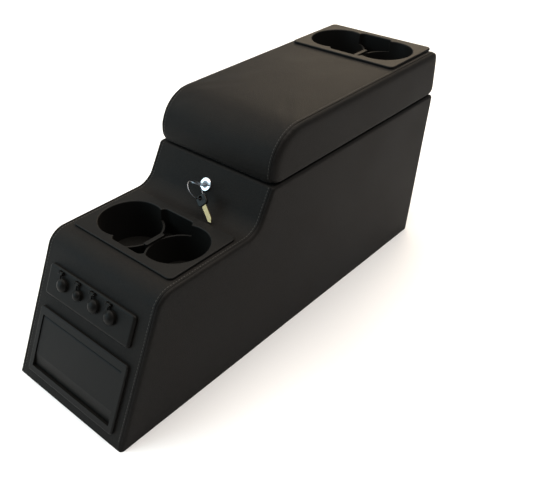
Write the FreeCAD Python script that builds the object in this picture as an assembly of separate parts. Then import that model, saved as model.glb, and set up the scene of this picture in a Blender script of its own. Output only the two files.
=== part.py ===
import FreeCAD
import Part

import math
import os

from FreeCAD import Placement, Rotation, Vector

# Centre console of a van or truck: a plywood box under stitched vinyl, with a padded armrest lid,
# twin cup inserts, a fascia with sockets and a flap, a cam lock with keys, and two lift-out bins.
# Millimetres. X runs across the console, Y from the fascia's foot to the rear, Z is up.
# The origin ends up on the floor, in the middle of the overall length and width.

# Body seen from the side
CONSOLE_WIDTH = 240.0
DECK_HEIGHT = 207.0
RAMP_RISE = 60.0
FASCIA_LEAN = 25.6
RAMP_ANGLE = 60.0
RAMP_TOP_Y = 316.0
REAR_TOP_Y = 752.0
REAR_LEAN = 8.5
FASCIA_TOP_R = 32.0
RAMP_FOOT_R = 35.0
BODY_TOP_R = 6.0
SIDE_EDGE_R = 5.0
COVER_T = 3.0
BOARD_T = 12.0
DIVIDER_DROP = 67.0
DIVIDER_SETBACK = 14.0

# Floor bolts
BOLT_HOLE_R = 4.25
BOLT_SPACING_X = 150.0
BOLT_SPACING_Y = 430.0
BOLT_REAR_SETBACK = 72.0

# Lid
LID_HEIGHT = 75.8
LID_NOSE_R = 66.0
LID_FOOT_R = 9.5
LID_REAR_R = 10.0
LID_EDGE_R = 8.5
LID_OVERHANG = 6.0
LID_BOARD_INSET = 11.0

# Lid hinge, a long knuckled strip
HINGE_MARGIN = 20.0
HINGE_LEAF_T = 1.0
HINGE_LEAF_GAP = 0.2
HINGE_LEAF_WIDTH = 14.0
HINGE_KNUCKLE_R = 2.6
HINGE_PIN_R = 1.3
HINGE_SEGMENTS = 5
RUNNING_GAP = 0.05
HINGE_SIDE_GAP = 0.3

# Twin cup insert
CUP_PLATE_MARGIN = 15.0
CUP_PLATE_T = 3.5
CUP_PLATE_R = 8.0
CUP_PLATE_EDGE_R = 1.4
CUP_BORDER_X = 7.5
CUP_BORDER_Y = 15.0
CUP_BRIDGE = 5.0
CUP_TAPER = 5.5
CUP_DEPTH = 64.0
CUP_WALL = 2.5
CUP_LIP_R = 1.8
CUP_SLOT_X = 66.0
CUP_SLOT_R = 9.0
CUP_SLOT_OVER = 3.5
CUP_SLOT_DEPTH = 46.0
CUP_PARTITION_DROP = 19.0
CUP_BAR_X = 8.0
CUP_BAR_Y = 35.0
CUP_BAR_DROP = 15.0
CUP_BAR_EDGE_R = 2.0
CUP_FIT = 1.0
FRONT_CUP_Y = 190.0
REAR_CUP_MARGIN = 5.0

# Fascia flap, its frame and the pocket behind it
FRAME_MARGIN = 22.0
FRAME_SIDE = 9.0
FRAME_FOOT = 15.5
FRAME_HEIGHT = 105.0
FRAME_PROUD = 5.0
FRAME_CORNER_R = 5.0
FRAME_EDGE_R = 2.2
FRAME_SLEEVE_T = 2.5
FRAME_SLEEVE_DEPTH = 4.0
FLAP_OPENING_FOOT = 10.0
FLAP_OPENING_HEAD = 12.0
FLAP_GAP = 1.0
FLAP_T = 4.0
FLAP_SUNK = 1.5
FLAP_BARREL_R = 3.2
FLAP_PIN_R = 1.2
FLAP_BEVEL_HEIGHT = 20.0
FLAP_BEVEL_DROP = 3.5
POCKET_DEPTH = 75.0
POCKET_T = 2.0
POCKET_LIFT = 1.0

# Socket strip and its four capped sockets
STRIP_END = 40.5
STRIP_FOOT = 141.0
STRIP_HEIGHT = 48.0
STRIP_PROUD = 5.5
STRIP_CORNER_R = 6.0
STRIP_EDGE_R = 4.0
STRIP_MIDDLE_X = -3.0
SOCKET_PITCH = 35.3
SOCKET_ROW_X = -5.6
SOCKET_S = 168.0
SOCKET_BORE_R = (7.8, 5.5, 7.8, 8.4)
SOCKET_WALL = 1.2
SOCKET_FLANGE = 1.2
SOCKET_FLANGE_T = 2.0
SOCKET_MOUTH = 0.9
SOCKET_DEPTH = 46.0
SOCKET_FLOOR_T = 2.0
SOCKET_STEP = 2.0
SOCKET_STEP_DEPTH = 9.5
SOCKET_FIT = 0.3
CONTACT_R = 2.6
CONTACT_HEIGHT = 8.0
CONTACT_STEM_R = 1.5
CONTACT_TAB_X = 6.3
CONTACT_TAB_T = 0.8
CONTACT_TAB_LENGTH = 9.0
CAP_OVERLAP = 2.0
CAP_LIFT = 0.3
CAP_RIM_T = 2.0
CAP_DOME = 4.5
CAP_SKIRT_GAP = 0.5
CAP_FOOT_GAP = 0.3
CAP_ARM_X = 4.5
CAP_ARM_T = 2.2
CAP_ARM_SIDE = 0.8
CAP_PIVOT_RISE = 15.7
CAP_BARREL_R = 2.1
CAP_PIN_R = 0.9
EAR_X = 2.0
EAR_GAP = 0.25
EAR_WALL = 0.5

# Cam lock on the ramp, with its keys
BEZEL_R = 10.5
BEZEL_T = 2.5
BEZEL_EDGE_R = 1.2
BARREL_R = 8.0
BARREL_LENGTH = 28.0
BARREL_FIT = 0.5
LOCK_NUT_R = 12.5
LOCK_NUT_T = 5.0
PLUG_R = 5.5
PLUG_SUNK = 0.4
TAIL_SIDE = 6.0
CAM_T = 3.0
CAM_X = 14.0
CAM_REACH = 36.0
CAM_GAP = 2.0
CAM_SCREW_R = 4.5
CAM_SCREW_T = 3.0
KEYWAY_X = 8.6
KEYWAY_T = 2.2
KEY_BLADE_X = 8.0
KEY_BLADE_T = 1.8
KEY_BLADE_IN = 20.0
KEY_NECK_X = 10.0
KEY_NECK_GAP = 0.5
KEYWAY_END = 1.0
KEY_BOW_R = 12.0
KEY_BOW_OUT = 18.0
KEY_HOLE_R = 5.5
KEY_WEB = 2.0
RING_R = 15.0
RING_WIRE_R = 0.8
RING_ROOM_IN = 4.0
RING_ROOM_OUT = 9.2
RING_LEAN = 46.0
SPARE_HEAD_X = 18.0
SPARE_HEAD_Y = 17.0
SPARE_HEAD_T = 5.0
SPARE_HEAD_R = 5.0
SPARE_HOLE_R = 3.8
SPARE_HOLE_INSET = 5.0
SPARE_SLACK = 0.6
SPARE_BLADE_X = 7.6
SPARE_BLADE_T = 1.8
SPARE_BLADE_LENGTH = 29.0
SPARE_TILT = 50.0

# Strike on the lid, which the cam enters
STRIKE_T = 2.0
STRIKE_X = 76.0
STRIKE_LEAF_Y = 24.0
STRIKE_DROP = 37.0
STRIKE_CLEAR = 4.5
STRIKE_SLOT_X = 62.0
STRIKE_SLOT_TOP = 17.0
STRIKE_SLOT_Z = 17.0

# Lift-out bins
BIN_SIDE_GAP = 2.0
LINER_Y = 138.0
LINER_HEIGHT = 136.0
LINER_T = 2.2
LINER_CORNER_R = 24.0
LINER_DRAFT = 5.0
LINER_FLUTE_R = 8.0
LINER_FLUTE_IN = 3.5
LINER_FLUTE_SPACING = 70.0
LINER_GAP = 6.0
CLEAT_SIDE = 10.0
CLEAT_OVER = 11.0
CLEAT_DROP = 31.0
CLEAT_REAR_GAP = 3.0
TRAY_Y = 158.0
TRAY_LIP = 9.5
TRAY_CLEAT_GAP = 2.5
TRAY_LIP_T = 2.5
TRAY_HEIGHT = 140.0
TRAY_T = 2.2
TRAY_DRAFT = 8.0
TRAY_CORNER_R = 5.0
TRAY_SLOT_X = 4.0
TRAY_SLOT_Z = 46.0
TRAY_SLOT_PITCH = 15.0
TRAY_SLOTS = 4
TRAY_SLOT_LIFT = 42.0

# What follows from the sizes above
SEAM_HEIGHT = DECK_HEIGHT + RAMP_RISE
DIVIDER_HEIGHT = SEAM_HEIGHT - DIVIDER_DROP
HALF = CONSOLE_WIDTH / 2
INNER_HALF = HALF - COVER_T - BOARD_T
SKIN = COVER_T + BOARD_T
HINGE_Z = SEAM_HEIGHT + HINGE_LEAF_T + HINGE_LEAF_GAP / 2
LID_BOTTOM = SEAM_HEIGHT + 2 * HINGE_LEAF_T + HINGE_LEAF_GAP
LID_TOP = LID_BOTTOM + LID_HEIGHT
LID_FRONT_Y = RAMP_TOP_Y
LID_REAR_Y = REAR_TOP_Y + LID_OVERHANG
HINGE_Y = LID_REAR_Y
HINGE_LENGTH = CONSOLE_WIDTH - 2 * HINGE_MARGIN
CENTRE_Y = (HINGE_Y + HINGE_KNUCKLE_R) / 2
CUP_PLATE_X = CONSOLE_WIDTH - 2 * CUP_PLATE_MARGIN
CUP_MOUTH_R = (CUP_PLATE_X - 2 * CUP_BORDER_X - CUP_BRIDGE) / 4
CUP_FOOT_R = CUP_MOUTH_R - CUP_TAPER
CUP_SPACING = 2 * CUP_MOUTH_R + CUP_BRIDGE
CUP_PLATE_Y = 2 * (CUP_MOUTH_R + CUP_BORDER_Y)
CUP_SLOT_Y = 2 * (CUP_MOUTH_R + CUP_SLOT_OVER)
CUP_BODY_X = CUP_SPACING + 2 * (CUP_MOUTH_R + CUP_WALL)
CUP_BODY_Y = CUP_SLOT_Y + 2 * CUP_WALL
REAR_CUP_Y = LID_REAR_Y - REAR_CUP_MARGIN - CUP_PLATE_Y / 2
FASCIA = Placement(Vector(0, 0, 0), Rotation(Vector(1, 0, 0), 90 - FASCIA_LEAN))
LOCK_Z = SEAM_HEIGHT - RAMP_RISE / 2
LOCK_Y = RAMP_TOP_Y - RAMP_RISE / 2 / math.tan(math.radians(RAMP_ANGLE))
RAMP = Placement(Vector(0, LOCK_Y, LOCK_Z), Rotation(Vector(1, 0, 0), RAMP_ANGLE))
RAMP_INNER_Y = RAMP_TOP_Y + SKIN / math.sin(math.radians(RAMP_ANGLE))
STRIKE_Y = RAMP_INNER_Y + STRIKE_CLEAR
DIVIDER_Y = RAMP_INNER_Y + DIVIDER_SETBACK
FRAME_X = CONSOLE_WIDTH - 2 * FRAME_MARGIN
FLAP_OPENING_X = FRAME_X - 2 * FRAME_SIDE
FLAP_FOOT = FRAME_FOOT + FLAP_OPENING_FOOT
FLAP_TOP = FRAME_FOOT + FRAME_HEIGHT - FLAP_OPENING_HEAD
FLAP_FACE = FRAME_PROUD - FLAP_SUNK
FLAP_AXIS_S = FLAP_TOP - FLAP_GAP - FLAP_BARREL_R
FLAP_AXIS_N = FLAP_FACE - FLAP_BARREL_R
CAP_SEAT = STRIP_PROUD + SOCKET_FLANGE_T
CAP_BASE = CAP_SEAT + CAP_LIFT
CAP_FOOT = STRIP_PROUD + CAP_FOOT_GAP
CAP_PIVOT_S = SOCKET_S + CAP_PIVOT_RISE
CAP_PIVOT_N = STRIP_PROUD + CAP_BARREL_R + CAP_LIFT
CAM_TOP = -BARREL_LENGTH - CAM_GAP
STRIP_X = (len(SOCKET_BORE_R) - 1) * SOCKET_PITCH + 2 * STRIP_END
SOCKET_X = [SOCKET_ROW_X + (i - 1.5) * SOCKET_PITCH for i in range(len(SOCKET_BORE_R))]
CAP_R = [bore + CAP_OVERLAP for bore in SOCKET_BORE_R]
CAP_ARM_CENTRE = [x - CAP_ARM_SIDE * r for x, r in zip(SOCKET_X, CAP_R)]
KEY_END_N = KEY_BOW_OUT + KEY_BOW_R
KEY_HOLE_N = KEY_END_N - KEY_WEB - KEY_HOLE_R
RING_IN_N = KEY_HOLE_N - KEY_HOLE_R + RING_ROOM_IN
RING_OUT_N = KEY_END_N + RING_ROOM_OUT
RING_N = (RING_IN_N + RING_OUT_N) / 2
RING_DROP = math.sqrt(RING_R ** 2 - ((RING_OUT_N - RING_IN_N) / 2) ** 2)
CLEAT_TOP = SEAM_HEIGHT - CLEAT_DROP
CLEAT_LENGTH = TRAY_Y + 2 * CLEAT_OVER
SPARE_N = RING_N - RING_R * math.cos(math.radians(RAMP_ANGLE))
SPARE_DROP = RING_DROP + RING_R * math.sin(math.radians(RAMP_ANGLE))
SPARE_X = SPARE_DROP * math.sin(math.radians(RING_LEAN))
SPARE_W = -SPARE_DROP * math.cos(math.radians(RING_LEAN))


def rounded_wire(corners, to_point):
    """Closed wire through corners (a, b, radius), each one rounded by its own radius."""
    count = len(corners)
    enters, leaves, middles = [], [], []
    for i, (a, b, radius) in enumerate(corners):
        here = Vector(a, b, 0)
        back = Vector(corners[i - 1][0], corners[i - 1][1], 0) - here
        ahead = Vector(corners[(i + 1) % count][0], corners[(i + 1) % count][1], 0) - here
        back.normalize()
        ahead.normalize()
        half = back.getAngle(ahead) / 2
        reach = radius / math.tan(half)
        middle = (back + ahead).normalize() * (radius / math.sin(half) - radius)
        enters.append(here + back * reach)
        leaves.append(here + ahead * reach)
        middles.append(here + middle)
    edges = []
    for i, (_, _, radius) in enumerate(corners):
        if radius > 0:
            arc = [to_point(p.x, p.y) for p in (enters[i], middles[i], leaves[i])]
            edges.append(Part.Arc(*arc).toShape())
        following = enters[(i + 1) % count]
        if (following - leaves[i]).Length > 1e-6:
            ends = [to_point(p.x, p.y) for p in (leaves[i], following)]
            edges.append(Part.LineSegment(*ends).toShape())
    return Part.Wire(edges)


def across(corners, x_from, x_to):
    """Solid of a side profile in Y and Z, run across from one X to another."""
    wire = rounded_wire(corners, lambda y, z: Vector(x_from, y, z))
    return Part.Face(wire).extrude(Vector(x_to - x_from, 0, 0))


def slab(size_x, size_y, z_from, z_to, radius=0.0, centre=(0.0, 0.0)):
    """Flat plate with rounded corners, centred in X and Y."""
    x, y = size_x / 2, size_y / 2
    corners = [(sx * x, sy * y, radius) for sx, sy in ((-1, -1), (1, -1), (1, 1), (-1, 1))]
    wire = rounded_wire(corners, lambda a, b: Vector(centre[0] + a, centre[1] + b, z_from))
    return Part.Face(wire).extrude(Vector(0, 0, z_to - z_from))


def round_edges(shape, radius, keep):
    """Fillets every edge that keep() accepts."""
    return shape.makeFillet(radius, [edge for edge in shape.Edges if keep(edge)])


def lies_at(axis, value):
    """Test for an edge that lies wholly at one value of x, y or z."""
    def test(edge):
        box = edge.BoundBox
        low, high = getattr(box, axis + "Min"), getattr(box, axis + "Max")
        return abs(low - value) < 1e-4 and abs(high - value) < 1e-4

    return test


def to(placement, shape):
    """A copy of the shape moved into a frame such as the fascia's or the ramp's."""
    return shape.transformed(placement.toMatrix())


def rod(radius, length, start, direction):
    return Part.makeCylinder(radius, length, Vector(*start), Vector(*direction))


def box_between(low, high):
    size = Vector(*high) - Vector(*low)
    return Part.makeBox(size.x, size.y, size.z, Vector(*low))


def fuse(shapes):
    shapes = list(shapes)
    joined = shapes[0] if len(shapes) == 1 else shapes[0].fuse(shapes[1:])
    return joined.removeSplitter()


# The body's side profile and the boards cut from it
def body_corners(inset, bottom=0.0, top=None):
    """Side profile of the body, moved inwards by an inset, as corners with their radii."""
    top = inset if top is None else top
    lean, ramp, rear = (math.radians(a) for a in (FASCIA_LEAN, RAMP_ANGLE, REAR_LEAN))
    lines = [
        ((0, 0), (1, 0), bottom),
        ((REAR_TOP_Y, SEAM_HEIGHT), (math.sin(rear), math.cos(rear)), inset),
        ((0, SEAM_HEIGHT), (-1, 0), top),
        ((RAMP_TOP_Y, SEAM_HEIGHT), (-math.cos(ramp), -math.sin(ramp)), inset),
        ((0, DECK_HEIGHT), (-1, 0), inset),
        ((0, 0), (-math.sin(lean), -math.cos(lean)), inset),
    ]
    radii = [
        0.0,
        0.0,
        max(BODY_TOP_R - inset, 0.0),
        max(BODY_TOP_R - inset, 0.0),
        RAMP_FOOT_R + inset,
        max(FASCIA_TOP_R - inset, 0.0),
    ]
    corners = []
    for i, (point, along, shift) in enumerate(lines):
        last_point, last_along, last_shift = lines[i - 1]
        p = Vector(point[0] - along[1] * shift, point[1] + along[0] * shift, 0)
        q = Vector(last_point[0] - last_along[1] * last_shift, last_point[1] + last_along[0] * last_shift, 0)
        turn = last_along[0] * along[1] - last_along[1] * along[0]
        step = ((p.x - q.x) * along[1] - (p.y - q.y) * along[0]) / turn
        corners.append((q.x + last_along[0] * step, q.y + last_along[1] * step, radii[i]))
    return corners


def on_slope(s, n):
    """Y and Z of a point given up the fascia's slope and out from it."""
    lean = math.radians(FASCIA_LEAN)
    return s * math.sin(lean) - n * math.cos(lean), s * math.cos(lean) + n * math.sin(lean)


def flap_cut_corners():
    """Side profile of the hole behind the flap: square to the fascia at its face, level further in."""
    head = FLAP_TOP + FRAME_SLEEVE_T
    foot = FLAP_FOOT - FRAME_SLEEVE_T
    floor = BOARD_T + POCKET_LIFT / 2
    head_y, head_z = on_slope(head, -FRAME_SLEEVE_DEPTH)
    foot_y, foot_z = on_slope(foot, -FRAME_SLEEVE_DEPTH)
    floor_y = foot_y - (foot_z - floor) * math.tan(math.radians(FASCIA_LEAN))
    back_y = head_y + 2 * SKIN
    return [
        (*on_slope(foot, SKIN), 0),
        (*on_slope(foot, -FRAME_SLEEVE_DEPTH), 0),
        (floor_y, floor, 0),
        (back_y, floor, 0),
        (back_y, head_z, 0),
        (head_y, head_z, 0),
        (*on_slope(head, SKIN), 0),
    ]


def fascia_cuts():
    """Holes through the fascia: the flap's pocket and one slot behind the socket strip."""
    half = FLAP_OPENING_X / 2 + FRAME_SLEEVE_T
    flap = across(flap_cut_corners(), -half, half)
    reach = max(SOCKET_BORE_R) + SOCKET_WALL + SOCKET_FIT
    slot_x = SOCKET_X[-1] - SOCKET_X[0] + 2 * reach
    slot = slab(slot_x, 2 * reach, -2 * SKIN, 2 * SKIN, reach * 0.9, (SOCKET_ROW_X, SOCKET_S))
    return [flap, to(FASCIA, slot)]


def cup_cut(y, z_from, z_to):
    """Hole that the body of a twin cup insert drops through."""
    hole = slab(CUP_BODY_X + 2 * CUP_FIT, CUP_BODY_Y + 2 * CUP_FIT, z_from, z_to, CUP_PLATE_R)
    hole.translate(Vector(0, y, 0))
    return hole


def lock_cut():
    return to(RAMP, rod(BARREL_R + BARREL_FIT, 4 * SKIN, (0, 0, -2 * SKIN), (0, 0, 1)))


def vinyl_cover():
    """The sewn skin over the whole body, folded in over the rim of the box."""
    skin = across(body_corners(0.0), -HALF, HALF)

    def is_side_edge(edge):
        on_side = lies_at("X", HALF)(edge) or lies_at("X", -HALF)(edge)
        return on_side and not lies_at("Z", 0.0)(edge)

    skin = round_edges(skin, SIDE_EDGE_R, is_side_edge)
    inside = across(body_corners(COVER_T, bottom=-1.0), COVER_T - HALF, HALF - COVER_T)
    mouth = across(body_corners(SKIN, bottom=-1.0, top=-1.0), -INNER_HALF, INNER_HALF)
    above_deck = box_between((-HALF, 0, DECK_HEIGHT + BODY_TOP_R), (HALF, REAR_TOP_Y, SEAM_HEIGHT + SKIN))
    cuts = [inside, mouth.common(above_deck), lock_cut(), *fascia_cuts()]
    return skin.cut([*cuts, cup_cut(FRONT_CUP_Y, 0, SEAM_HEIGHT)])


def board_ring():
    """Boards that close the box between its two sides, before they are parted at their corners."""
    outer = across(body_corners(COVER_T), -INNER_HALF, INNER_HALF)
    inner = across(body_corners(SKIN, bottom=BOARD_T, top=-1.0), -INNER_HALF, INNER_HALF)
    return outer.cut(inner)


def ring_part(ring, region):
    piece = ring.common(across([(y, z, 0) for y, z in region], -INNER_HALF, INNER_HALF))
    return piece.removeSplitter()


def boards():
    """Plywood of the body: two sides, and floor, fascia, deck, ramp, rear and divider between them."""
    ring = board_ring()
    outside = body_corners(-SKIN)
    inside = body_corners(2 * SKIN)
    fascia_out, fascia_in = outside[5][:2], inside[5][:2]
    ramp_out, ramp_in = outside[4][:2], inside[4][:2]
    far, high = 2 * REAR_TOP_Y, 2 * SEAM_HEIGHT
    middle = (RAMP_TOP_Y + REAR_TOP_Y) / 2
    regions = {
        "floor_board": [(-far, 0), (far, 0), (far, BOARD_T), (-far, BOARD_T)],
        "fascia_board": [(-far, BOARD_T), (fascia_in[0], BOARD_T), fascia_in, fascia_out, (-far, high)],
        "deck_board": [fascia_out, fascia_in, ramp_in, ramp_out],
        "ramp_board": [ramp_out, ramp_in, (middle, ramp_in[1]), (middle, high), (ramp_out[0], high)],
        "rear_board": [(middle, BOARD_T), (far, BOARD_T), (far, high), (middle, high)],
    }
    made = {name: ring_part(ring, region) for name, region in regions.items()}
    made["fascia_board"] = made["fascia_board"].cut(fascia_cuts())
    made["deck_board"] = made["deck_board"].cut(cup_cut(FRONT_CUP_Y, 0, SEAM_HEIGHT))
    made["ramp_board"] = made["ramp_board"].cut(lock_cut())
    made["floor_board"] = made["floor_board"].cut(bolt_holes())
    for name, x in (("left_side_board", -HALF + COVER_T), ("right_side_board", INNER_HALF)):
        made[name] = across(body_corners(COVER_T), x, x + BOARD_T)
    made["divider_board"] = box_between(
        (-INNER_HALF, DIVIDER_Y, BOARD_T), (INNER_HALF, DIVIDER_Y + BOARD_T, DIVIDER_HEIGHT)
    )
    return made


def bolt_places():
    rear = REAR_TOP_Y - BOLT_REAR_SETBACK
    return [(sx * BOLT_SPACING_X / 2, y) for sx in (-1, 1) for y in (rear - BOLT_SPACING_Y, rear)]


def bolt_holes():
    return [rod(BOLT_HOLE_R, BOARD_T + 2, (x, y, -1), (0, 0, 1)) for x, y in bolt_places()]


# Twin cup insert, used in the deck and in the lid
def cup_holder():
    """One moulding: plate, two cups, and the handle slot between them with its low partition."""
    top, foot = CUP_PLATE_T, CUP_PLATE_T - CUP_DEPTH
    plate = slab(CUP_PLATE_X, CUP_PLATE_Y, 0, top, CUP_PLATE_R)
    plate = round_edges(plate, CUP_PLATE_EDGE_R, lies_at("Z", top))
    shells, hollows = [], []
    for side in (-1, 1):
        x = side * CUP_SPACING / 2
        shells.append(
            Part.makeCone(CUP_FOOT_R + CUP_WALL, CUP_MOUTH_R + CUP_WALL, CUP_DEPTH - top, Vector(x, 0, foot))
        )
        hollow = Part.makeCone(CUP_FOOT_R, CUP_MOUTH_R, CUP_DEPTH, Vector(x, 0, foot + CUP_WALL))
        hollows.append(hollow)
    slot_foot = top - CUP_SLOT_DEPTH
    shell_x, shell_y = CUP_SLOT_X + 2 * CUP_WALL, CUP_SLOT_Y + 2 * CUP_WALL
    slot_shell = slab(shell_x, shell_y, slot_foot, top / 2, CUP_SLOT_R + CUP_WALL)
    slot = slab(CUP_SLOT_X, CUP_SLOT_Y, slot_foot + CUP_WALL, top + 1, CUP_SLOT_R)
    low = slab(CUP_PLATE_X, CUP_PLATE_Y, foot, top - CUP_PARTITION_DROP)
    partitions = [shell.common(low) for shell in shells]
    holder = plate.fuse([*shells, slot_shell]).cut(slot.cut(partitions)).cut(hollows)
    bar = slab(CUP_BAR_X, CUP_BAR_Y, slot_foot + CUP_WALL / 2, top - CUP_BAR_DROP, CUP_BAR_EDGE_R)
    bar = round_edges(bar, CUP_BAR_EDGE_R / 2, lies_at("Z", top - CUP_BAR_DROP))
    holder = holder.fuse(bar).removeSplitter()

    def is_mouth(edge):
        box = edge.BoundBox
        inside_x = max(-box.XMin, box.XMax) < CUP_BODY_X / 2
        inside_y = max(-box.YMin, box.YMax) < CUP_BODY_Y / 2
        return lies_at("Z", top)(edge) and inside_x and inside_y

    return round_edges(holder, CUP_LIP_R, is_mouth)


def moved(shape, x=0.0, y=0.0, z=0.0):
    copy = shape.copy()
    copy.translate(Vector(x, y, z))
    return copy


# Lid with its board, pad, hinge and strike
def lid_outline(y_from, y_to, z_from, z_to, shrink=0.0):
    """Side profile of the lid, with its rolled nose."""
    return [
        (y_from, z_from, LID_FOOT_R - shrink),
        (y_to, z_from, LID_FOOT_R - shrink),
        (y_to, z_to, LID_REAR_R - shrink),
        (y_from, z_to, LID_NOSE_R - shrink),
    ]


def lid_board_box(grow=0.0):
    low = (LID_BOARD_INSET - HALF - grow, LID_FRONT_Y + LID_BOARD_INSET - grow, LID_BOTTOM - grow)
    high = (HALF - LID_BOARD_INSET + grow, LID_REAR_Y - LID_BOARD_INSET + grow, LID_BOTTOM + BOARD_T)
    return box_between(low, high)


def lid_pad():
    """Foam under vinyl: rounded all over, hollow below for the board and above for the cup insert."""
    pad = across(lid_outline(LID_FRONT_Y, LID_REAR_Y, LID_BOTTOM, LID_TOP), -HALF, HALF)
    pad = round_edges(pad, LID_EDGE_R, lambda e: lies_at("X", HALF)(e) or lies_at("X", -HALF)(e))
    return pad.cut([lid_board_box(), cup_cut(REAR_CUP_Y, LID_BOTTOM + BOARD_T, LID_TOP + 1)])


def hinge_leaf(first_segment, z_from, z_to, bore):
    """One leaf of the lid's hinge, with every other knuckle."""
    segment = HINGE_LENGTH / HINGE_SEGMENTS
    clear_y = HINGE_Y - HINGE_KNUCKLE_R - HINGE_SIDE_GAP
    end = HINGE_LENGTH / 2
    pieces = [box_between((-end, clear_y - HINGE_LEAF_WIDTH, z_from), (end, clear_y, z_to))]
    for i in range(first_segment, HINGE_SEGMENTS, 2):
        x_from = -HINGE_LENGTH / 2 + i * segment + HINGE_SIDE_GAP
        length = segment - 2 * HINGE_SIDE_GAP
        pieces.append(rod(HINGE_KNUCKLE_R, length, (x_from, HINGE_Y, HINGE_Z), (1, 0, 0)))
        pieces.append(box_between((x_from, clear_y, z_from), (x_from + length, HINGE_Y, z_to)))
    leaf = pieces[0].fuse(pieces[1:])
    pin_hole = rod(bore, 2 * HINGE_LENGTH, (-HINGE_LENGTH, HINGE_Y, HINGE_Z), (1, 0, 0))
    return leaf.cut(pin_hole).removeSplitter()


def lid_hinge():
    seam = SEAM_HEIGHT
    return {
        "hinge_body_leaf": hinge_leaf(0, seam, seam + HINGE_LEAF_T, HINGE_PIN_R),
        "hinge_lid_leaf": hinge_leaf(1, LID_BOTTOM - HINGE_LEAF_T, LID_BOTTOM, HINGE_PIN_R + RUNNING_GAP),
        "hinge_pin": rod(HINGE_PIN_R, HINGE_LENGTH, (-HINGE_LENGTH / 2, HINGE_Y, HINGE_Z), (1, 0, 0)),
    }


def lid_strike():
    """Bent plate under the lid's front, with the slot that the cam turns into."""
    half = STRIKE_X / 2
    foot = LID_BOTTOM - STRIKE_DROP
    leaf = box_between((-half, STRIKE_Y, LID_BOTTOM - STRIKE_T), (half, STRIKE_Y + STRIKE_LEAF_Y, LID_BOTTOM))
    plate = box_between((-half, STRIKE_Y, foot), (half, STRIKE_Y + STRIKE_T, LID_BOTTOM))
    slot_half = STRIKE_SLOT_X / 2
    slot_top = LID_BOTTOM - STRIKE_SLOT_TOP
    slot_foot = slot_top - STRIKE_SLOT_Z
    slot = box_between((-slot_half, STRIKE_Y - 1, slot_foot), (slot_half, STRIKE_Y + STRIKE_T + 1, slot_top))
    return leaf.fuse(plate).cut(slot).removeSplitter()


# Fascia: frame, flap and pocket, in the fascia's own frame of X, S up its slope and N outwards
def fascia_slab(size_x, s_from, s_to, n_from, n_to, radius=0.0):
    return slab(size_x, s_to - s_from, n_from, n_to, radius, (0.0, (s_from + s_to) / 2))


def flap_frame():
    """Raised bezel round the flap, with a short sleeve into the fascia that carries the flap's pin."""
    top = FRAME_FOOT + FRAME_HEIGHT
    frame = fascia_slab(FRAME_X, FRAME_FOOT, top, 0, FRAME_PROUD, FRAME_CORNER_R)
    frame = round_edges(frame, FRAME_EDGE_R, lies_at("Z", FRAME_PROUD))
    sleeve = fascia_slab(
        FLAP_OPENING_X + 2 * FRAME_SLEEVE_T,
        FLAP_FOOT - FRAME_SLEEVE_T,
        FLAP_TOP + FRAME_SLEEVE_T,
        -FRAME_SLEEVE_DEPTH,
        FRAME_PROUD / 2,
    )
    opening = fascia_slab(FLAP_OPENING_X, FLAP_FOOT, FLAP_TOP, -SKIN, SKIN)
    return to(FASCIA, frame.fuse(sleeve).cut([opening, flap_pin_rod()]).removeSplitter())


def flap_pin_rod():
    length = FLAP_OPENING_X + 2 * FRAME_SLEEVE_T
    return rod(FLAP_PIN_R, length, (-length / 2, FLAP_AXIS_S, FLAP_AXIS_N), (1, 0, 0))


def flap():
    """Flap of the front pocket: barrel along its top edge, and a bevelled foot to get a finger behind."""
    half = FLAP_OPENING_X / 2 - FLAP_GAP
    foot = FLAP_FOOT + FLAP_GAP
    crease = foot + FLAP_BEVEL_HEIGHT
    back = FLAP_FACE - FLAP_T
    section = [
        (foot, FLAP_FACE - FLAP_BEVEL_DROP),
        (crease, FLAP_FACE),
        (FLAP_AXIS_S, FLAP_FACE),
        (FLAP_AXIS_S, back),
        (crease, back),
        (foot, back - FLAP_BEVEL_DROP),
    ]
    wire = Part.makePolygon([Vector(-half, s, n) for s, n in [*section, section[0]]])
    leaf = Part.Face(wire).extrude(Vector(2 * half, 0, 0))
    barrel = rod(FLAP_BARREL_R, 2 * half, (-half, FLAP_AXIS_S, FLAP_AXIS_N), (1, 0, 0))
    bore = rod(FLAP_PIN_R + RUNNING_GAP, 4 * half, (-2 * half, FLAP_AXIS_S, FLAP_AXIS_N), (1, 0, 0))
    return to(FASCIA, leaf.fuse(barrel).cut(bore).removeSplitter())


def front_pocket():
    """Moulded bin behind the flap, level in its floor and open towards the frame's sleeve."""
    base_y, base_z = on_slope(0, -FRAME_SLEEVE_DEPTH)
    back_y = on_slope(FLAP_TOP, 0)[0] + POCKET_DEPTH

    def corners(wall):
        floor = BOARD_T + POCKET_LIFT + wall
        top_y, top_z = on_slope(FLAP_TOP + FRAME_SLEEVE_T - wall, -FRAME_SLEEVE_DEPTH)
        foot_y = base_y + (floor - base_z) * math.tan(math.radians(FASCIA_LEAN))
        return [(foot_y, floor, 0), (back_y - wall, floor, 0), (back_y - wall, top_z, 0), (top_y, top_z, 0)]

    half = FLAP_OPENING_X / 2 + FRAME_SLEEVE_T
    bin_shape = across(corners(0.0), -half, half)
    hollow = across(corners(POCKET_T), -half + POCKET_T, half - POCKET_T)
    return bin_shape.cut(hollow)


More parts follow.
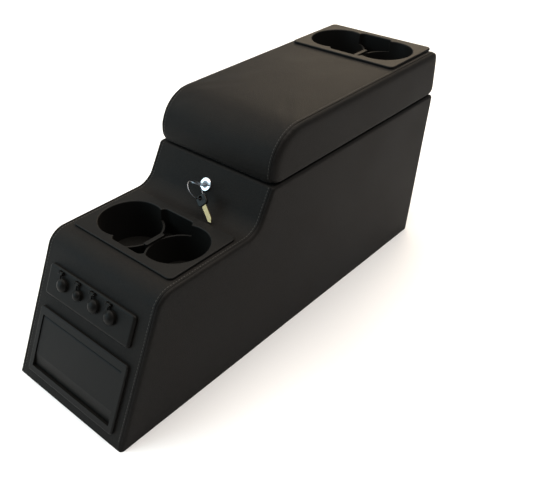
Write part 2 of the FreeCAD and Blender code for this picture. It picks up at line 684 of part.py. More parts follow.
# Socket strip: plate, sockets, contacts and caps
def socket_strip():
    """Raised moulded plate with a hole for each socket and a pair of ears for each cap."""
    strip = fascia_slab(STRIP_X, STRIP_FOOT, STRIP_FOOT + STRIP_HEIGHT, 0, STRIP_PROUD, STRIP_CORNER_R)
    strip = moved(round_edges(strip, STRIP_EDGE_R, lies_at("Z", STRIP_PROUD)), x=STRIP_MIDDLE_X)
    ears, holes = [], []
    ear_half = CAP_BARREL_R + EAR_WALL
    for x, bore, arm in zip(SOCKET_X, SOCKET_BORE_R, CAP_ARM_CENTRE):
        holes.append(rod(bore + SOCKET_WALL, 2 * SKIN, (x, SOCKET_S, -SKIN), (0, 0, 1)))
        for side in (-1, 1):
            centre = arm + side * (CAP_ARM_X / 2 + EAR_GAP + EAR_X / 2)
            ear = slab(EAR_X, 2 * ear_half, STRIP_PROUD / 2, CAP_PIVOT_N, 0.0, (centre, CAP_PIVOT_S))
            crown = rod(ear_half, EAR_X, (centre - EAR_X / 2, CAP_PIVOT_S, CAP_PIVOT_N), (1, 0, 0))
            ears.extend([ear, crown])
    strip = strip.fuse(ears).cut([*holes, *[cap_pin(arm) for arm in CAP_ARM_CENTRE]])
    return to(FASCIA, strip.removeSplitter())


def cap_pin(arm):
    length = CAP_ARM_X + 2 * (EAR_GAP + EAR_X)
    return rod(CAP_PIN_R, length, (arm - length / 2, CAP_PIVOT_S, CAP_PIVOT_N), (1, 0, 0))


def socket(x, bore):
    """Round stepped well: flange on the strip, wider mouth for the cap, hole for the contact."""
    foot = STRIP_PROUD - SOCKET_DEPTH
    body = rod(bore + SOCKET_WALL, SOCKET_DEPTH, (x, SOCKET_S, foot), (0, 0, 1))
    flange = rod(bore + SOCKET_WALL + SOCKET_FLANGE, SOCKET_FLANGE_T, (x, SOCKET_S, STRIP_PROUD), (0, 0, 1))
    floor = foot + SOCKET_FLOOR_T
    chamber = rod(bore - SOCKET_STEP, SOCKET_DEPTH, (x, SOCKET_S, floor), (0, 0, 1))
    well = rod(bore, 2 * SOCKET_DEPTH, (x, SOCKET_S, floor + SOCKET_STEP_DEPTH), (0, 0, 1))
    stem = rod(CONTACT_STEM_R, SOCKET_DEPTH, (x, SOCKET_S, foot - SOCKET_DEPTH / 2), (0, 0, 1))
    mouth = rod(bore + SOCKET_MOUTH, SOCKET_DEPTH, (x, SOCKET_S, STRIP_PROUD), (0, 0, 1))
    return to(FASCIA, body.fuse(flange).cut([well, chamber, stem, mouth]).removeSplitter())


def contact(x):
    """Brass centre contact: button in the well, stem through its floor, and a tab behind."""
    foot = STRIP_PROUD - SOCKET_DEPTH
    floor = foot + SOCKET_FLOOR_T
    button = rod(CONTACT_R, CONTACT_HEIGHT, (x, SOCKET_S, floor), (0, 0, 1))
    button = round_edges(button, CONTACT_R / 2, lies_at("Z", floor + CONTACT_HEIGHT))
    stem = rod(CONTACT_STEM_R, SOCKET_FLOOR_T, (x, SOCKET_S, foot), (0, 0, 1))
    tab = slab(CONTACT_TAB_X, CONTACT_TAB_T, foot - CONTACT_TAB_LENGTH, foot, 0.0, (x, SOCKET_S))
    return to(FASCIA, fuse([button, stem, tab]))


def socket_cap(x, radius, bore, arm):
    """Domed snap cap with a short skirt, on an arm that ends in a hinge barrel."""
    rim = CAP_BASE + CAP_RIM_T
    crown = rim + CAP_DOME
    points = [Vector(0, 0, CAP_BASE), Vector(radius, 0, CAP_BASE), Vector(radius, 0, rim)]
    edges = [Part.LineSegment(a, b).toShape() for a, b in zip(points, points[1:])]
    shoulder = Vector(radius * 0.72, 0, rim + CAP_DOME * 0.62)
    edges.append(Part.Arc(points[-1], shoulder, Vector(0, 0, crown)).toShape())
    edges.append(Part.LineSegment(Vector(0, 0, crown), points[0]).toShape())
    dome = Part.Face(Part.Wire(edges)).revolve(Vector(0, 0, 0), Vector(0, 0, 1), 360)
    dome.translate(Vector(x, SOCKET_S, 0))
    skirt = rod(bore + SOCKET_MOUTH - CAP_SKIRT_GAP, CAP_BASE - CAP_FOOT, (x, SOCKET_S, CAP_FOOT), (0, 0, 1))
    length = CAP_PIVOT_S - SOCKET_S
    arm_bar = slab(CAP_ARM_X, length, CAP_BASE, CAP_BASE + CAP_ARM_T, 0.0, (arm, SOCKET_S + length / 2))
    barrel = rod(CAP_BARREL_R, CAP_ARM_X, (arm - CAP_ARM_X / 2, CAP_PIVOT_S, CAP_PIVOT_N), (1, 0, 0))
    pivot = (arm - CAP_ARM_X, CAP_PIVOT_S, CAP_PIVOT_N)
    bore_hole = rod(CAP_PIN_R + RUNNING_GAP, 2 * CAP_ARM_X, pivot, (1, 0, 0))
    cap = dome.fuse([skirt, arm_bar, barrel]).cut(bore_hole)
    return to(FASCIA, cap.removeSplitter())


def socket_parts():
    made = {"socket_strip": socket_strip()}
    for i, (x, bore, radius, arm) in enumerate(zip(SOCKET_X, SOCKET_BORE_R, CAP_R, CAP_ARM_CENTRE), 1):
        made[f"socket_{i}"] = socket(x, bore)
        made[f"socket_contact_{i}"] = contact(x)
        made[f"socket_cap_{i}"] = socket_cap(x, radius, bore, arm)
    made["cap_pins"] = Part.makeCompound([to(FASCIA, cap_pin(arm)) for arm in CAP_ARM_CENTRE])
    return made


# Cam lock, in the ramp's own frame: X across, W up the ramp, N outwards
def hexagon(radius, z_from, z_to):
    points = [
        Vector(radius * math.cos(math.radians(60 * i)), radius * math.sin(math.radians(60 * i)), z_from)
        for i in range(7)
    ]
    return Part.Face(Part.makePolygon(points)).extrude(Vector(0, 0, z_to - z_from))


def lock_barrel():
    bezel = rod(BEZEL_R, BEZEL_T, (0, 0, 0), (0, 0, 1))
    bezel = round_edges(bezel, BEZEL_EDGE_R, lies_at("Z", BEZEL_T))
    barrel = rod(BARREL_R, BARREL_LENGTH, (0, 0, -BARREL_LENGTH), (0, 0, 1))
    bore = rod(PLUG_R + RUNNING_GAP, 4 * BARREL_LENGTH, (0, 0, -2 * BARREL_LENGTH), (0, 0, 1))
    return bezel.fuse(barrel).cut(bore).removeSplitter()


def lock_plug():
    """Turning core with a level keyway and a square tail for the cam."""
    face = BEZEL_T - PLUG_SUNK
    core = rod(PLUG_R, face + BARREL_LENGTH + CAM_GAP, (0, 0, CAM_TOP), (0, 0, 1))
    tail = slab(TAIL_SIDE, TAIL_SIDE, CAM_TOP - CAM_T, CAM_TOP)
    keyway = slab(KEYWAY_X, KEYWAY_T, -KEY_BLADE_IN - KEYWAY_END, face + BEZEL_T)
    return core.fuse(tail).cut(keyway).removeSplitter()


def lock_cam():
    """Flat cam that points across the ramp at rest and up the ramp when it is locked."""
    foot = CAM_TOP - CAM_T
    cam = slab(CAM_REACH + CAM_X / 2, CAM_X, foot, CAM_TOP, CAM_X * 0.3, ((CAM_REACH - CAM_X / 2) / 2, 0.0))
    return cam.cut(slab(TAIL_SIDE, TAIL_SIDE, foot - 1, CAM_TOP + 1))


def key():
    """Flat key in the lock: blade in the keyway, round bow with a hole outside it."""
    face = BEZEL_T - PLUG_SUNK
    blade = slab(KEY_BLADE_X, KEY_BLADE_T, -KEY_BLADE_IN, face + BEZEL_T)
    neck = slab(KEY_NECK_X, KEY_BLADE_T, face + KEY_NECK_GAP, KEY_BOW_OUT)
    bow = rod(KEY_BOW_R, KEY_BLADE_T, (0, -KEY_BLADE_T / 2, KEY_BOW_OUT), (0, 1, 0))
    hole = rod(KEY_HOLE_R, 4 * KEY_BLADE_T, (0, -2 * KEY_BLADE_T, KEY_HOLE_N), (0, 1, 0))
    return fuse([blade, neck, bow]).cut(hole)


def key_ring():
    """Ring threaded through the key's bow and round its outer end, hanging and leaning to the right."""
    ring = Part.makeTorus(RING_R, RING_WIRE_R, Vector(0, -RING_DROP, RING_N), Vector(1, 0, 0))
    return to(Placement(Vector(0, 0, 0), Rotation(Vector(0, 0, 1), RING_LEAN)), ring)


def spare_key():
    """Second key on the ring: black grip and brass blade, leaning to the right over the deck."""
    head = slab(SPARE_HEAD_X, SPARE_HEAD_Y, -SPARE_HEAD_T / 2, SPARE_HEAD_T / 2, SPARE_HEAD_R)
    head = round_edges(head, SPARE_HEAD_T * 0.3, lambda e: abs(e.CenterOfMass.z) > SPARE_HEAD_T * 0.4)
    hole_y = SPARE_HEAD_Y / 2 - SPARE_HOLE_INSET
    hole = rod(SPARE_HOLE_R, 2 * SPARE_HEAD_T, (0, hole_y, -SPARE_HEAD_T), (0, 0, 1))
    x = SPARE_BLADE_X / 2
    root, tip = -SPARE_HEAD_Y / 2, -SPARE_HEAD_Y / 2 - SPARE_BLADE_LENGTH
    outline = [(-x, root, 0), (-x, tip + x, 0), (0, tip, 0), (x, tip + x * 1.6, 0), (x, root, 0)]
    wire = rounded_wire(outline, lambda a, b: Vector(a, b, -SPARE_BLADE_T / 2))
    blade = Part.Face(wire).extrude(Vector(0, 0, SPARE_BLADE_T))
    place = Placement(Vector(SPARE_X, SPARE_W, SPARE_N), Rotation(Vector(0, 0, 1), SPARE_TILT))
    hang = place.multiply(Placement(Vector(0, -hole_y - SPARE_SLACK, 0), Rotation()))
    return {"spare_key_grip": to(hang, head.cut(hole)), "spare_key_blade": to(hang, blade)}


def lock_parts():
    nut_z = -SKIN
    nut_hole = rod(BARREL_R, 4 * SKIN, (0, 0, -4 * SKIN), (0, 0, 1))
    nut = hexagon(LOCK_NUT_R, nut_z - LOCK_NUT_T, nut_z).cut(nut_hole)
    made = {
        "lock_barrel": lock_barrel(),
        "lock_nut": nut,
        "lock_plug": lock_plug(),
        "lock_cam": lock_cam(),
        "lock_cam_screw": hexagon(CAM_SCREW_R, CAM_TOP - CAM_T - CAM_SCREW_T, CAM_TOP - CAM_T),
        "key": key(),
        "key_ring": key_ring(),
        **spare_key(),
    }
    return {name: to(RAMP, shape) for name, shape in made.items()}


# Lift-out bins in the storage box
def tapered_box(size_x, size_y, z_from, z_to, taper, radius):
    """Box with rounded upright corners that is smaller at its foot by the taper."""
    def ring(x, y, z):
        half_x, half_y = x / 2, y / 2
        corners = [(sx * half_x, sy * half_y, radius) for sx, sy in ((-1, -1), (1, -1), (1, 1), (-1, 1))]
        return rounded_wire(corners, lambda a, b: Vector(a, b, z))

    return Part.makeLoft([ring(size_x - taper, size_y - taper, z_from), ring(size_x, size_y, z_to)], True)


def storage_liner():
    """Pale lift-out liner: rounded, with two upright flutes pressed into each long side."""
    size_x = 2 * (INNER_HALF - BIN_SIDE_GAP)
    floor = BOARD_T
    rim = floor + LINER_HEIGHT
    outer = tapered_box(size_x, LINER_Y, floor, rim, LINER_DRAFT, LINER_CORNER_R)
    inner_x, inner_y = size_x - 2 * LINER_T, LINER_Y - 2 * LINER_T
    inner_r = LINER_CORNER_R - LINER_T
    inner = tapered_box(inner_x, inner_y, floor + LINER_T, rim + LINER_T, LINER_DRAFT, inner_r)
    grooves, backs = [], []
    for side in (-1, 1):
        for step in (-1, 1):
            x = step * LINER_FLUTE_SPACING / 2
            y = side * (LINER_Y / 2 + LINER_FLUTE_R - LINER_FLUTE_IN - LINER_DRAFT / 2)
            grooves.append(rod(LINER_FLUTE_R, LINER_HEIGHT, (x, y, floor), (0, 0, 1)))
            backs.append(rod(LINER_FLUTE_R + LINER_T, LINER_HEIGHT, (x, y, floor), (0, 0, 1)))
    liner = outer.cut(inner.cut(backs)).cut(grooves)
    return moved(liner, y=DIVIDER_Y + BOARD_T + LINER_GAP + LINER_Y / 2)


def tray_centre_y():
    rear = math.radians(REAR_LEAN)
    back = REAR_TOP_Y - SKIN / math.cos(rear) - (SEAM_HEIGHT - CLEAT_TOP) * math.tan(rear)
    return back - CLEAT_REAR_GAP - CLEAT_OVER - TRAY_Y / 2


def storage_tray():
    """Dark lift-out tray that hangs by its lip, with slots for dividers in its long walls."""
    lip_x = 2 * (INNER_HALF - BIN_SIDE_GAP)
    size_x = 2 * (INNER_HALF - CLEAT_SIDE - TRAY_CLEAT_GAP)
    size_y = TRAY_Y - 2 * TRAY_LIP
    rim = CLEAT_TOP + TRAY_LIP_T
    foot = rim - TRAY_HEIGHT
    lip = slab(lip_x, TRAY_Y, CLEAT_TOP, rim, TRAY_CORNER_R)
    outer = tapered_box(size_x, size_y, foot, rim, TRAY_DRAFT, TRAY_CORNER_R)
    inner_x, inner_y = size_x - 2 * TRAY_T, size_y - 2 * TRAY_T
    inner = tapered_box(inner_x, inner_y, foot + TRAY_T, rim + TRAY_T, TRAY_DRAFT, TRAY_CORNER_R - TRAY_T)
    slots = []
    for i in range(TRAY_SLOTS):
        x = (i - (TRAY_SLOTS - 1) / 2) * TRAY_SLOT_PITCH
        z = foot + TRAY_SLOT_LIFT
        slots.append(slab(TRAY_SLOT_X, 2 * TRAY_Y, z, z + TRAY_SLOT_Z, 0.0, (x, 0.0)))
    tray = lip.fuse(outer).cut([inner, *slots]).removeSplitter()
    return moved(tray, y=tray_centre_y())


def tray_cleats():
    """Two wooden rails on the sides of the box that carry the tray's lip."""
    y_from = tray_centre_y() - CLEAT_LENGTH / 2
    rails = {}
    for name, x in (("left_cleat", -INNER_HALF), ("right_cleat", INNER_HALF - CLEAT_SIDE)):
        low = (x, y_from, CLEAT_TOP - CLEAT_SIDE)
        rails[name] = box_between(low, (x + CLEAT_SIDE, y_from + CLEAT_LENGTH, CLEAT_TOP))
    return rails


def all_parts():
    insert = cup_holder()
    parts = {
        "vinyl_cover": vinyl_cover(),
        **boards(),
        "front_cup_holder": moved(insert, y=FRONT_CUP_Y, z=DECK_HEIGHT),
        "rear_cup_holder": moved(insert, y=REAR_CUP_Y, z=LID_TOP),
        "lid_board": lid_board_box(),
        "lid_pad": lid_pad(),
        "lid_strike": lid_strike(),
        **lid_hinge(),
        "flap_frame": flap_frame(),
        "flap": flap(),
        "flap_pin": to(FASCIA, flap_pin_rod()),
        "front_pocket": front_pocket(),
        **socket_parts(),
        **lock_parts(),
        "storage_liner": storage_liner(),
        "storage_tray": storage_tray(),
        **tray_cleats(),
    }
    return {name: moved(shape, y=-CENTRE_Y) for name, shape in parts.items()}


def main():
    os.makedirs("parts", exist_ok=True)
    for name, shape in all_parts().items():
        if not shape.isValid() or not shape.Solids:
            raise RuntimeError(f"{name} is not a closed solid")
        shape.exportStep(f"parts/{name}.step")
        print(f"{name}: {len(shape.Solids)} solid, {shape.Volume / 1000:.1f} cm3")


if __name__ == "__main__":
    main()
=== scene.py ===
import math

import bmesh
import bpy
from mathutils import Matrix, Vector, noise
from mathutils.bvhtree import BVHTree


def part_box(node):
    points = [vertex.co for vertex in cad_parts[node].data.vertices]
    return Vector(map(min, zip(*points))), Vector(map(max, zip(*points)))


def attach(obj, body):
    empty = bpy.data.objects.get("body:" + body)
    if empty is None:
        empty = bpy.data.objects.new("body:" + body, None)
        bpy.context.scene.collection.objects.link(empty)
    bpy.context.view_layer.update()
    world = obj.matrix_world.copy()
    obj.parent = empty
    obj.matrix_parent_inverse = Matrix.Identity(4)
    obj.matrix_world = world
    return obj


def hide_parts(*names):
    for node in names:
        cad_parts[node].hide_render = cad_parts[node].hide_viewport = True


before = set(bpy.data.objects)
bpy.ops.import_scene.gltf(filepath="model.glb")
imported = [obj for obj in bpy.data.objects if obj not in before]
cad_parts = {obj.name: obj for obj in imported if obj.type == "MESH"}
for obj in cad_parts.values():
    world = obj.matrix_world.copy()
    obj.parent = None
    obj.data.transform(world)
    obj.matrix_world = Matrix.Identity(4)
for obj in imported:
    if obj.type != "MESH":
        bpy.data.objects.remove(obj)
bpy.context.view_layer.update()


# Studio: a pale paper floor in a bright room under a broad soft panel, with weaker panels behind,
# at the left and in front, the rear one warm and the front one cool. The camera stands in front,
# to the right and above, where the photograph was taken from.
def linear(hex_colour):
    """Linear colour with alpha from an sRGB hex value."""
    channels = [int(hex_colour[i:i + 2], 16) / 255 for i in (0, 2, 4)]
    return [c / 12.92 if c <= 0.04045 else ((c + 0.055) / 1.055) ** 2.4 for c in channels] + [1.0]


def new_material(name, **shader_values):
    """A material with a shader that has these plain values, written with underscores for spaces."""
    material = bpy.data.materials.new(name)
    material.use_nodes = True
    shader = material.node_tree.nodes["Principled BSDF"]
    for socket, value in shader_values.items():
        shader.inputs[socket.replace("_", " ")].default_value = value
    return material, material.node_tree, shader


SHARP_ANGLE = math.radians(38)


def mesh_object(name, bm, *materials):
    """A finished bmesh as an object at the origin, smooth but for its sharp edges."""
    mesh = bpy.data.meshes.new(name)
    bm.to_mesh(mesh)
    bm.free()
    mesh.shade_smooth()
    mesh.set_sharp_from_angle(angle=SHARP_ANGLE)
    for material in materials:
        mesh.materials.append(material)
    made = bpy.data.objects.new(name, mesh)
    bpy.context.scene.collection.objects.link(made)
    return made


CAMERA_PLACE = (0.6689, -0.6947, 0.7581)
CAMERA_AZIMUTH = math.radians(41.15)
CAMERA_ELEVATION = math.radians(34.67)
CAMERA_ROLL = -0.01
CAMERA_LENS = 45.48
CAMERA_SENSOR = 36.0
camera_data = bpy.data.cameras.new("camera")
camera_data.lens = CAMERA_LENS
camera_data.sensor_width = CAMERA_SENSOR
camera = bpy.data.objects.new("camera", camera_data)
tilt = Matrix.Rotation(math.pi / 2 - CAMERA_ELEVATION, 4, "X") @ Matrix.Rotation(CAMERA_ROLL, 4, "Z")
camera.matrix_world = Matrix.Translation(CAMERA_PLACE) @ Matrix.Rotation(CAMERA_AZIMUTH, 4, "Z") @ tilt
bpy.context.scene.collection.objects.link(camera)
bpy.context.scene.camera = camera
bpy.context.scene.view_settings.view_transform = "Standard"

FLOOR_SIZE = 12.0
paper, _, _ = new_material("matt_white_paper", Base_Color=linear("f7f7f7"), Roughness=0.9)
floor_bm = bmesh.new()
bmesh.ops.create_grid(floor_bm, x_segments=1, y_segments=1, size=FLOOR_SIZE / 2)
floor = mesh_object("floor", floor_bm, paper)

ROOM_COLOUR = "e2ebf5"
ROOM_STRENGTH = 0.35
world = bpy.data.worlds.new("bright_room")
bpy.context.scene.world = world
world.use_nodes = True
room_light = world.node_tree.nodes["Background"]
room_light.inputs["Color"].default_value = linear(ROOM_COLOUR)
room_light.inputs["Strength"].default_value = ROOM_STRENGTH

# Each panel has a name, a place and an aim, its size in metres, its power in watts and its colour.
SOFT_PANELS = (
    ("overhead_panel", (0.1, 0.4, 2.4), (0.0, 0.0, 0.2), 2.4, 88.0, "fff6ec"),
    ("rear_panel", (-1.2, 2.6, 1.9), (0.0, 0.0, 0.3), 2.0, 38.0, "ffe6c0"),
    ("left_panel", (-2.2, -0.6, 2.1), (0.0, -0.1, 0.2), 1.8, 30.0, "eef4ee"),
    ("front_panel", (-1.8, -2.2, 1.3), (0.0, -0.2, 0.1), 2.0, 42.0, "c2e4f2"),
)
for panel_name, place, aim, size, power, colour in SOFT_PANELS:
    panel_data = bpy.data.lights.new(panel_name, "AREA")
    panel_data.size = size
    panel_data.energy = power
    panel_data.color = linear(colour)[:3]
    panel = bpy.data.objects.new(panel_name, panel_data)
    direction = Vector(aim) - Vector(place)
    panel.matrix_world = Matrix.Translation(place) @ direction.to_track_quat("-Z", "Y").to_matrix().to_4x4()
    bpy.context.scene.collection.objects.link(panel)


# Carcass: birch plywood boards glued and stapled into a box, with two cleats that carry the tray.
# The faces show long pale grain, and the sawn edges show the plies as light and dark stripes.
MM = 0.001
PLY = 2.4 * MM
GRAIN_ACROSS = 3.5 * MM
GRAIN_ALONG = 90 * MM
FASCIA_LEAN = math.radians(25.6)
RAMP_ANGLE = math.radians(60)
REAR_LEAN = math.radians(8.5)
BOARD_NORMALS = {
    "left_side_board": (1, 0, 0),
    "right_side_board": (1, 0, 0),
    "left_cleat": (1, 0, 0),
    "right_cleat": (1, 0, 0),
    "floor_board": (0, 0, 1),
    "deck_board": (0, 0, 1),
    "lid_board": (0, 0, 1),
    "rear_board": (0, math.cos(REAR_LEAN), -math.sin(REAR_LEAN)),
    "divider_board": (0, 1, 0),
    "fascia_board": (0, -math.cos(FASCIA_LEAN), math.sin(FASCIA_LEAN)),
    "ramp_board": (0, -math.sin(RAMP_ANGLE), math.cos(RAMP_ANGLE)),
}


def add(tree, kind, inputs=None, **settings):
    """Adds a node, sets its settings, and sets or links its inputs."""
    new = tree.nodes.new(kind)
    for name, value in settings.items():
        setattr(new, name, value)
    for name, value in (inputs or {}).items():
        if isinstance(value, bpy.types.NodeSocket):
            tree.links.new(value, new.inputs[name])
        else:
            new.inputs[name].default_value = value
    return new


def plywood(normal):
    """Birch plywood whose plies are stacked along this direction."""
    material, tree, shader = new_material("birch_plywood", Roughness=0.62, IOR=1.5)
    place = add(tree, "ShaderNodeTexCoord").outputs["Object"]
    along = add(tree, "ShaderNodeVectorMath", {0: place, 1: normal}, operation="DOT_PRODUCT")
    ply = {0: along.outputs["Value"], 1: math.pi / PLY}
    turns = add(tree, "ShaderNodeMath", ply, operation="MULTIPLY")
    stripe = add(tree, "ShaderNodeMath", {0: turns.outputs[0]}, operation="SINE")
    stretch = [1 / GRAIN_ACROSS, 1 / GRAIN_ALONG, 1 / GRAIN_ACROSS]
    grain_place = add(tree, "ShaderNodeMapping", {"Vector": place, "Scale": stretch}).outputs[0]
    figure = {"Vector": grain_place, "Scale": 1.0, "Detail": 4.0, "Distortion": 0.6}
    grain = add(tree, "ShaderNodeTexNoise", figure)
    wood = add(tree, "ShaderNodeValToRGB", {"Fac": grain.outputs["Fac"]})
    wood.color_ramp.elements[0].position = 0.3
    wood.color_ramp.elements[0].color = linear("b48a58")
    wood.color_ramp.elements[1].position = 0.72
    wood.color_ramp.elements[1].color = linear("dcbd8e")
    glue = {"Value": stripe.outputs[0], "From Min": -0.2, "From Max": 0.4, "To Max": 0.45}
    dark = add(tree, "ShaderNodeMapRange", glue)
    edge = {0: dark.outputs[0], 6: wood.outputs[0], 7: linear("7d5a36")}
    striped = add(tree, "ShaderNodeMix", edge, data_type="RGBA")
    tree.links.new(striped.outputs[2], shader.inputs["Base Color"])
    pores = {"Height": grain.outputs["Fac"], "Strength": 0.2, "Distance": 0.3 * MM}
    bump = add(tree, "ShaderNodeBump", pores)
    tree.links.new(bump.outputs[0], shader.inputs["Normal"])
    return material


def dress(node, material):
    """Gives a carried-over solid its finish."""
    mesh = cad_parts[node].data
    mesh.materials.clear()
    mesh.materials.append(material)


for board, board_normal in BOARD_NORMALS.items():
    dress(board, plywood(board_normal))


# Body cover: charcoal vinyl with a thin foam back, cut as one long strip over fascia, deck, ramp and
# rear and two side panels, sewn together along the side edges and top-stitched beside the seam.
# It is glued to the boards, with windows cut for the inserts, and folds in over the rim of the box.
cover_low, cover_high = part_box("vinyl_cover")
CENTRE_Y = round(-cover_low[1] / MM, 1)
HALF_WIDTH = round(cover_high[0] / MM, 1)
SEAM_HEIGHT = round(cover_high[2] / MM, 1)
DECK_HEIGHT = 207.0
RAMP_TOP_Y = 316.0
REAR_TOP_Y = 752.0
BODY_TOP_R = 6.0
RAMP_FOOT_R = 35.0
FASCIA_TOP_R = 32.0
COVER_T = 3.0
COVER_SLACK = 0.1
SIDE_EDGE_R = 5.0
CELL = 8.0
CORNER_SEGMENTS = 10
EDGE_SEGMENTS = 5
TOUCH = 0.001 * MM
FASCIA_TOP_Y = DECK_HEIGHT * math.tan(FASCIA_LEAN)
RAMP_FOOT_Y = RAMP_TOP_Y - (SEAM_HEIGHT - DECK_HEIGHT) / math.tan(RAMP_ANGLE)
# The side outline: y from the fascia's foot and z from the floor, in millimetres, and a corner's radius.
BODY_CORNERS = (
    (0.0, 0.0, 0.0),
    (REAR_TOP_Y - SEAM_HEIGHT * math.tan(REAR_LEAN), 0.0, 0.0),
    (REAR_TOP_Y, SEAM_HEIGHT, BODY_TOP_R),
    (RAMP_TOP_Y, SEAM_HEIGHT, BODY_TOP_R),
    (RAMP_FOOT_Y, DECK_HEIGHT, RAMP_FOOT_R),
    (FASCIA_TOP_Y, DECK_HEIGHT, FASCIA_TOP_R),
)


def at(x, y, z):
    """A place in the part's frame, in metres, from millimetres measured from the fascia's foot."""
    return Vector((x, y - CENTRE_Y, z)) * MM


def corners_of(node):
    """A solid's lowest and highest corners in millimetres, to a tenth, with y from the fascia's foot."""
    return [
        (round(x / MM, 1), round(y / MM + CENTRE_Y, 1), round(z / MM, 1)) for x, y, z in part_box(node)
    ]


def cut(bm, faces, place, normal):
    """Cuts some faces along a plane."""
    edges = {e for f in faces for e in f.edges}
    verts = {v for f in faces for v in f.verts}
    bmesh.ops.bisect_plane(
        bm, geom=[*verts, *edges, *faces], plane_co=place, plane_no=normal, dist=TOUCH / 10
    )


def upholstered_block(corners, half_width, edge_r, cell):
    """A block with this side outline: rounded corners, rounded side edges, and faces of one cell's size."""
    bm = bmesh.new()
    first = bm.faces.new([bm.verts.new(at(-half_width, y, z)) for y, z, _ in corners])
    pushed = bmesh.ops.extrude_face_region(bm, geom=[first])["geom"]
    new_verts = [g for g in pushed if isinstance(g, bmesh.types.BMVert)]
    bmesh.ops.translate(bm, verts=new_verts, vec=(2 * half_width * MM, 0, 0))
    bmesh.ops.recalc_face_normals(bm, faces=bm.faces)
    for i, (y, z, radius) in enumerate(corners):
        if radius:
            before = Vector(corners[i - 1][:2]) - Vector((y, z))
            after = Vector(corners[(i + 1) % len(corners)][:2]) - Vector((y, z))
            setback = radius / math.tan(before.angle(after) / 2)
            edge = [
                e
                for e in bm.edges
                if all((v.co - at(v.co.x / MM, y, z)).length < TOUCH for v in e.verts)
            ]
            bmesh.ops.bevel(
                bm,
                geom=edge,
                offset=setback * MM,
                segments=CORNER_SEGMENTS,
                profile=0.5,
                affect="EDGES",
                material=-1,
            )
    side = [
        e
        for e in bm.edges
        if all(abs(abs(v.co.x) - half_width * MM) < TOUCH for v in e.verts)
        and e.verts[0].co.x * e.verts[1].co.x > 0
        and max(v.co.z for v in e.verts) > TOUCH
    ]
    bmesh.ops.bevel(
        bm,
        geom=side,
        offset=edge_r * MM,
        segments=EDGE_SEGMENTS,
        profile=0.5,
        affect="EDGES",
        material=-1,
    )
    for axis in range(3):
        low = min(v.co[axis] for v in bm.verts)
        high = max(v.co[axis] for v in bm.verts)
        count = round((high - low) / (cell * MM))
        normal = Vector((axis == 0, axis == 1, axis == 2))
        for i in range(1, count):
            cut(bm, bm.faces[:], normal * (low + (high - low) * i / count), normal)
    return bm


def cut_window(bm, centre, spans, depth):
    """Cuts a window as wide as its spans say out of the faces that lie within a depth of its centre."""
    out = spans[0][0].cross(spans[1][0]).normalized()

    def near(face, margin):
        offset = (face.calc_center_median() - centre) / MM
        inside = all(abs(offset.dot(direction)) < half + margin for direction, half in spans)
        return inside and abs(offset.dot(out)) < depth

    for direction, half in spans:
        for side in (-1, 1):
            patch = [f for f in bm.faces if near(f, 2 * CELL)]
            cut(bm, patch, centre + side * half * MM * direction, direction)
    bmesh.ops.delete(bm, geom=[f for f in bm.faces if near(f, 0)], context="FACES")


def wrinkle(place, size, height):
    """A gentle height that wanders over a size, the same on each run."""
    return noise.noise(place / (size * MM)) * height * MM


RIGHT = Vector((1, 0, 0))
BACK = Vector((0, 1, 0))
UP_FASCIA = Vector((0, math.sin(FASCIA_LEAN), math.cos(FASCIA_LEAN)))
UP_RAMP = Vector((0, math.cos(RAMP_ANGLE), math.sin(RAMP_ANGLE)))
WINDOW_DEPTH = 6.0
(_, cup_front, _), (_, cup_rear, _) = corners_of("front_cup_holder")
CUP_Y = (cup_front + cup_rear) / 2
CUP_WINDOW = ((RIGHT, 101.0), (BACK, 54.5))
FLAP_S = 67.0
FLAP_WINDOW = ((RIGHT, 91.5), (UP_FASCIA, 44.0))
SOCKETS_X = -5.6
SOCKETS_S = 168.0
SOCKETS_WINDOW = ((RIGHT, 62.8), (UP_FASCIA, 9.9))
LOCK_Y = 298.7
LOCK_Z = 237.0
LOCK_HOLE_R = 8.7
DIAGONALS = ((RIGHT + UP_RAMP).normalized(), (RIGHT - UP_RAMP).normalized())
LOCK_WINDOW = [(direction, LOCK_HOLE_R) for direction in (RIGHT, UP_RAMP, *DIAGONALS)]
MOUTH_Y = 535.1
MOUTH_WINDOW = ((RIGHT, 105.0), (BACK, 201.7))
SEAM_INSET = 5.6
STITCH_INSET = 9.5
SEAM_DEPTH = 0.9
SEAM_WIDTH = 1.1
ON_SEAM = 0.01
SWELL_SIZE = 85.0
PUCKER_SIZE = 13.0
PUCKER_REACH = 3.5
BODY_SWELL = 0.3
BODY_PUCKER = 0.25


def on_fascia(x, s):
    """A place on the fascia, this far up its slope."""
    return at(x, 0, 0) + UP_FASCIA * s * MM


cover = upholstered_block(BODY_CORNERS, HALF_WIDTH, SIDE_EDGE_R, CELL)
for seam_side in (-1, 1):
    for offset in (-SEAM_WIDTH, 0, SEAM_WIDTH, STITCH_INSET - SEAM_INSET):
        cut(cover, cover.faces[:], at(seam_side * (HALF_WIDTH - SEAM_INSET - offset), 0, 0), RIGHT)
bmesh.ops.delete(cover, geom=[f for f in cover.faces if f.calc_center_median().z < TOUCH], context="FACES")


def line_at(bm, x):
    """Vertices of the cut made at this x, in order from the lowest in front, over the top, to the rear."""
    line = {v for v in bm.verts if abs(v.co.x - x * MM) < TOUCH}
    here = min(line, key=lambda v: (round(v.co.z, 4), v.co.y))
    ordered = []
    while here:
        ordered.append(here)
        line.discard(here)
        beside = [e.other_vert(here) for e in here.link_edges if e.other_vert(here) in line]
        here = max(beside, key=lambda v: v.co.z) if beside else None
    return ordered


